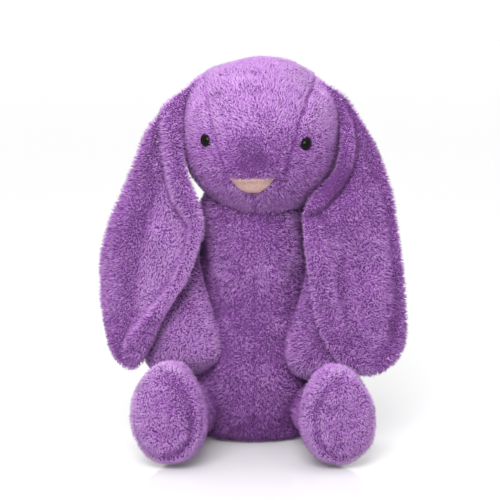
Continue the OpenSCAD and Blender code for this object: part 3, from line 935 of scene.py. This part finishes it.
def nose_piece():
    """A bowl of velour, flat on top, that follows the muzzle."""
    rows, cols = 22, 40
    tall = NOSE_TALL
    faces = []
    outer, inner = [], []
    for i in range(rows + 1):
        t = i / rows
        tt = 0.004 + 0.992 * t
        half = NOSE_W * float(nose_half(np.array([-tt * tall]))[0])
        half = max(half, 0.9 * MM)
        for j in range(cols + 1):
            u = 2 * j / cols - 1
            x, z = NOSE_X + u * half, NOSE_TOP + 0.6 * MM - tt * tall * 1.04
            d = from_head(np.array([[x, -math.sqrt(HEAD_R**2 - x**2 - z**2), z]]))[0] - HEAD
            d /= np.linalg.norm(d)
            hit = on_face(d)
            edge = max(abs(u) ** 5, (2 * t - 1) ** 6)
            rise = 3.4 * MM * math.sqrt(max(0.0, 1 - edge)) + 0.3 * MM
            outer.append(hit + d * rise)
            inner.append(hit - d * 0.5 * MM)
    n = len(outer)
    w = cols + 1
    for i in range(rows):
        for j in range(cols):
            a = i * w + j
            faces.append((a, a + 1, a + w + 1, a + w))
            faces.append((n + a, n + a + w, n + a + w + 1, n + a + 1))
    ring = (
        [j for j in range(w)] + [i * w + cols for i in range(1, rows + 1)]
        + [rows * w + j for j in range(cols - 1, -1, -1)] + [i * w for i in range(rows - 1, 0, -1)])
    for a, b in zip(ring, ring[1:] + ring[:1]):
        faces.append((a, n + a, n + b, b))
    return make("nose_velour", outer + inner, faces, [nose_mat])


nose = nose_piece()


def eye_piece(s):
    """A black bead with its shank, looking out from the face."""
    d = eye_dir(s)
    b = bmesh.new()
    bmesh.ops.create_uvsphere(b, u_segments=40, v_segments=24, radius=EYE_R)
    for v in b.verts:
        v.co.z *= 0.7
        v.co.x *= 0.8 if s > 0 else 0.9
    bmesh.ops.create_cone(b, segments=24, radius1=2 * MM, radius2=2 * MM, depth=12 * MM, cap_ends=True,
                          matrix=Matrix.Translation((0, 0, -8 * MM)))
    me = bpy.data.meshes.new("eye_%s_bead" % SIDE[s])
    b.to_mesh(me)
    b.free()
    me.materials.append(bead_mat)
    me.polygons.foreach_set("use_smooth", [True] * len(me.polygons))
    ob = bpy.data.objects.new(me.name, me)
    bpy.context.scene.collection.objects.link(ob)
    place = on_face(d) + d * 1.0 * MM
    turn = Vector((0, 0, 1)).rotation_difference(Vector(d)).to_matrix()
    v = co_of(ob) @ np.array(turn).T + place
    set_co(ob, v)
    return ob


eyes = {s: eye_piece(s) for s in (-1, 1)}

# ---------------------------------------------------------------- pile

DENSE = 1.45 * MM * MM
LONG = 4.6 * MM


def clear_of_head(p, nrm):
    return np.linalg.norm(p - HEAD, axis=1) > HEAD_R - 12 * MM


# where another part lies close, the pile is painted darker as shade
by_head = beside([ears[-1], ears[1]])
by_torso = beside([arms[-1], arms[1], ears[-1], ears[1], legs[-1], legs[1], head])
by_arm = {s: beside([torso, ears[s], legs[s]]) for s in (-1, 1)}
by_leg = {s: beside([torso, arms[s]]) for s in (-1, 1)}
by_ear = beside([head, torso])


def torso_tone(p, nrm):
    """The pile is painted darker as shade low down and where the arms and ears lie against the sides."""
    x, z = p[:, 0] / MM, p[:, 2] / MM
    # painted shadow of the ears on the front of the sides, heavier on the right
    side = (np.clip((np.abs(x) - 34) / 14, 0, 1) * np.where(x < 0, 1.9, 1.2)
            * np.interp(z, [60, 110, 235], [0.4, 1, 1]))
    # painted shade: darker low down and where other parts lie close
    return (0.1 - 0.5 * np.clip((140 - z) / 60, 0, 1) - 2.8 * np.clip(1 - z / 75, 0, 1)
            - 0.7 * side * (p[:, 1] < 0) - 2.2 * by_torso(p, nrm))


fur_head = grow("head_fur", [head], DENSE * 0.85, LONG * 0.9, head_comb, pile_mats_tone_and_painted_light,
                keep=head_keep, shorten=head_shorten, tone=head_tone, parts=2)
fur_torso = grow("torso_fur", [torso], DENSE, LONG, down, pile_mats_tone_and_painted_light, keep=clear_of_head,
                 shorten=lambda p, n: 1 - 0.45 * torso_seams(p), tone=torso_tone, parts=2)


def arm_tone(s):
    """The paws are lighter than the arms, the left one less so, and painted darker as shade against the body.
    """
    def tone(p, nrm):
        paw = np.clip((190 * MM - p[:, 2]) / (50 * MM), 0, 1)
        # painted shade where the body, the ear and the leg lie close
        return (1.4 if s < 0 else 0.4) * paw - 0.4 - 2.4 * by_arm[s](p, nrm)

    return tone


fur_arms = {
    s: grow("arm_%s_fur" % SIDE[s], [arms[s]], DENSE, LONG, down, pile_mats_tone_and_painted_light, tone=arm_tone(s))
    for s in (-1, 1)}


def foot_comb(s):
    def comb(p, nrm):
        q = to_foot(s, p)
        spread = q / (np.linalg.norm(q, axis=1)[:, None] + 1e-9)
        out = spread @ foot_axes(s)
        face = np.clip((-q[:, 1:2] - 10 * MM) / (8 * MM), 0, 1)
        return out * face * 0.5 + np.array([0, 0, -0.6]) + (1 - face) * np.array([0, -0.3, 0])

    return comb


def foot_tone(s):
    """The rim round a sole and the outer half of the sole are painted lighter, as the light they catch."""
    def tone(p, nrm):
        q = to_foot(s, p)
        front = np.clip((10 * MM - q[:, 1]) / (20 * MM), 0, 1)
        # painted highlight on the rim round the sole
        rim = np.clip(np.hypot(q[:, 0] / 39, q[:, 2] / 51) / MM - 0.72, 0, 0.25) * 4
        out = s * q[:, 0] / (39 * MM)
        edge = 2.2 * sole_seam(q) * np.clip(0.3 - out, 0, 1)
        # the outer half is painted lighter as light it catches; by_leg paints shade where the torso and the
        # arm lie close
        return (front * (0.9 + 1.2 * rim + (1.1 if s < 0 else 0.2) * out) - edge
                - 0.8 * (1 - front) - 1.8 * by_leg[s](p, nrm))

    return tone


fur_legs = {
    s: grow("leg_%s_fur" % SIDE[s], [legs[s]], DENSE * 0.85, LONG * 0.95, foot_comb(s), pile_mats_tone_and_painted_light,
            shorten=lambda p, n, s=s: 1 - 0.2 * sole_seam(to_foot(s, p)), tone=foot_tone(s))
    for s in (-1, 1)}


def ear_tone(s):
    """The face of the ear between its rims lies smoother and lighter. The pile is painted darker as shade in
    the crease beside the rim, where the head or the torso lies close, and under the left ear's turned-over
    flap."""
    turn = np.array(Matrix.Rotation(s * EAR_TURN, 3, "Z"))
    lean = np.array(Matrix.Rotation(-EAR_LEAN, 3, "X"))

    def tone(p, nrm):
        q = (p - EAR_ROOT[s]) @ lean @ turn / MM
        u, h = s * q[:, 0], q[:, 2]
        lobe = np.interp(h, *np.array(EAR_LOBE[s], float).T)
        rim = np.interp(h, *np.array(EAR_RIM[s], float).T)
        dish = np.clip((u - rim) / 6, 0, 1) * np.clip((lobe - u) / 6, 0, 1)
        fold = np.clip((h + 138) / 12, 0, 1)
        # the last term is painted shade in the crease beside the rim
        out = ((1.0 if s < 0 else 0.7) * dish - 0.8 * (u > lobe) + 0.3 + 0.5 * np.clip((-h - 140) / 40, 0, 1)
               - 2.2 * fold * np.exp(-(((u - rim - 2.5) / 2.6) ** 2)))
        # painted shade where the head and the torso lie close
        out -= 1.6 * by_ear(p, nrm)
        if s < 0:
            out -= 1.3 * np.clip((-h - 218) / 16, 0, 1)
        else:
            low = np.clip((-h - 128) / 10, 0, 1) * np.clip((h + 250) / 20, 0, 1)
            # painted shade in the crease beside the lower rim
            out += low * (0.4 * (u < 8) - 1.2 * np.exp(-(((u - 15) / 4) ** 2)))
            out -= 1.1 * np.exp(-(((u - 66) / 9) ** 2) - ((h + 222) / 14) ** 2) + 1.1
            # painted shade under the turned-over flap
            out -= 4.6 * np.exp(-(((u - 4) / 15) ** 2) - ((h + 100) / 19) ** 2)
        return out

    return tone


fur_ears = {
    s: grow("ear_%s_fur" % SIDE[s], [ears[s]], DENSE, LONG, down, pile_mats_tone_and_painted_light,
            keep=clear_of_head, tone=ear_tone(s))
    for s in (-1, 1)}


def tail_comb(p, nrm):
    return 0.3 * down(p, nrm)


fur_tail = grow("tail_fur", [tail], 1.2 * MM * MM, 9.5 * MM, tail_comb, tail_mats,
                lean=0.45, width=1.0 * MM, clump=4 * MM)

# ---------------------------------------------------------------- filling


def filling(skin, node, deep=4 * MM, grid=4 * MM):
    """The filling inside a skin, as one closed form a little smaller than it."""
    me = skin.data.copy()
    ob = bpy.data.objects.new(node + "_form", me)
    bpy.context.scene.collection.objects.link(ob)
    me.materials.clear()
    me.materials.append(filling_mat)
    v, nv = co_of(ob), normals_of(ob)
    set_co(ob, v - nv * deep)
    fuse(ob, grid, 2)
    ob.data.materials.clear()
    ob.data.materials.append(filling_mat)
    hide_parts(node)
    return ob


fill_head = filling(head, "head_stuffing")
fill_torso = filling(torso, "torso_stuffing")
fill_arms = {s: filling(arms[s], "arm_%s_stuffing" % SIDE[s]) for s in (-1, 1)}
fill_legs = {s: filling(legs[s], "leg_%s_stuffing" % SIDE[s]) for s in (-1, 1)}
fill_tail = filling(tail, "tail_stuffing")

# ---------------------------------------------------------------- what moves with what

for ob in (head, *fur_head, fill_head, nose, eyes[-1], eyes[1]):
    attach(ob, "head")
for ob in (torso, *fur_torso, fill_torso):
    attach(ob, "torso")
for ob in (tail, *fur_tail, fill_tail):
    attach(ob, "tail")
for s in (-1, 1):
    for ob in (arms[s], *fur_arms[s], fill_arms[s]):
        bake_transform(ob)
    leg_way = foot_middle(s) - HIP[s]
    leg_way /= np.linalg.norm(leg_way)
    for ob in (legs[s], *fur_legs[s], fill_legs[s]):
        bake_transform(ob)
    for ob in (ears[s], *fur_ears[s]):
        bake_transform(ob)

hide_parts("head_gusset", "head_side_left", "head_side_right")
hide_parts("nose_patch")
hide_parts("torso_front_left", "torso_front_right", "torso_back_left", "torso_back_right",
            "torso_seat")
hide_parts("tail_cover")
for s in (-1, 1):
    side = SIDE[s]
    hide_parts("eye_" + side)
    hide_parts("ear_%s_front" % side, "ear_%s_back" % side)
    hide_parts("arm_%s_front" % side, "arm_%s_back" % side)
    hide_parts("leg_%s_inner" % side, "leg_%s_outer" % side, "sole_" + side)

for s in (-1, 1):
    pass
for s in (-1, 1):
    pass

pouch_mat = woven("pouch", (0.6, 0.57, 0.5), (0.75, 0.72, 0.65), 0.85, 700.0, 0.0005)
washer_mat = woven("washer", (0.72, 0.72, 0.70), (0.8, 0.8, 0.78), 0.45, 200.0, 0.0001)
for node, ob in frame["nodes"].items():
    mat = None
    if "pellet" in node:
        mat = pouch_mat
    elif "washer" in node:
        mat = washer_mat
    elif node == "closing_stitches":
        mat = thread_mat
    if mat is not None:
        ob.data.materials.clear()
        ob.data.materials.append(mat)

# ---------------------------------------------------------------- stage

floor_mat, _, _, p = new_material("floor")
p.inputs["Base Color"].default_value = (0.6, 0.595, 0.605, 1)
p.inputs["Emission Color"].default_value = (1, 1, 1, 1)
p.inputs["Emission Strength"].default_value = 0.05
p.inputs["Roughness"].default_value = 0.12
p.inputs["Specular IOR Level"].default_value = 0.8
bpy.ops.mesh.primitive_plane_add(size=30, location=(0, 0, 0))
floor = bpy.context.object
floor.name = "floor"
floor.data.materials.append(floor_mat)

scene = bpy.context.scene
world = bpy.data.worlds.new("studio")
scene.world = world
world.use_nodes = True
world.node_tree.nodes["Background"].inputs["Color"].default_value = (1, 1, 1, 1)
world.node_tree.nodes["Background"].inputs["Strength"].default_value = 1.12


def area_light(name, where, aim, size, power, color=(1, 1, 1)):
    data = bpy.data.lights.new(name, "AREA")
    data.shape = "RECTANGLE"
    data.size, data.size_y = size
    data.energy = power
    data.color = color
    ob = bpy.data.objects.new(name, data)
    scene.collection.objects.link(ob)
    ob.location = where
    ob.rotation_euler = (Vector(aim) - Vector(where)).to_track_quat("-Z", "Y").to_euler()
    return ob


area_light("key", (-0.25, -1.5, 1.25), (0, 0, 0.2), (1.0, 1.0), 48)
area_light("top", (0.1, -0.15, 1.9), (0, 0, 0.2), (1.0, 0.8), 7)

scene.view_settings.view_transform = "Standard"

cam_data = bpy.data.cameras.new("camera")
cam = bpy.data.objects.new("camera", cam_data)
scene.collection.objects.link(cam)
scene.camera = cam
elev, dist = math.radians(10), 1.9
target = Vector((-0.004, 0, 0.186))
cam.location = target + Vector((0, -math.cos(elev), math.sin(elev))) * dist
cam.rotation_euler = (target - cam.location).to_track_quat("-Z", "Y").to_euler()
SENSOR = 36  # mm
SEEN_WIDTH = 0.5  # m, across the picture at the target
cam_data.sensor_width = SENSOR
cam_data.lens = SENSOR * dist / SEEN_WIDTH
cam_data.clip_end = 50
cam_data.dof.use_dof = False
